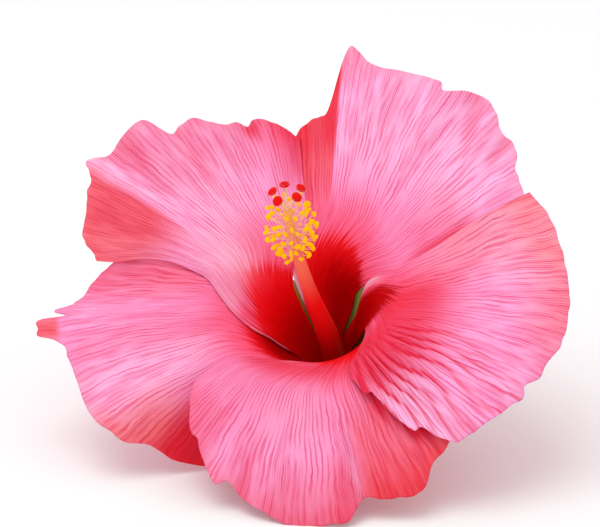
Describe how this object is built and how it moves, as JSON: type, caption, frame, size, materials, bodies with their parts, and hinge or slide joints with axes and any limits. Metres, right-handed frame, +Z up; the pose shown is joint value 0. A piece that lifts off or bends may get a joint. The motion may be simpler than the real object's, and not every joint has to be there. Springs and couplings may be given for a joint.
{
  "type": "hibiscus flower",
  "caption": "A pink hibiscus flower with a deep red eye and a long column of yellow anthers, picked and lying face up on its stalk and lower petals.",
  "frame": {"origin": "centre of the bounding box's bottom, on the surface that the flower lies on", "axes": "+Z up from that surface; +X to the right as seen from the flower's face; -Y towards the viewer, the way the flower faces, so the flower's own axis leans 30 degrees from +Z towards -Y and a little to the left"},
  "size_m": [0.1237, 0.0903, 0.0858],
  "materials": {
    "petal": "soft satin, veined",
    "column": "waxy, with powdery anthers",
    "stigma": "velvety",
    "sepal": "matte leafy",
    "bracteole": "matte leafy",
    "pedicel": "matte green stem"
  },
  "bodies": {
    "root": {"petal_upper_right": "petal", "petal_right": "petal", "petal_lower": "petal", "petal_left": "petal", "petal_upper_left": "petal", "staminal_column": "column", "pistil": "stigma", "calyx": "sepal", "epicalyx": "bracteole", "pedicel": "pedicel"}
  },
  "joints": []
}
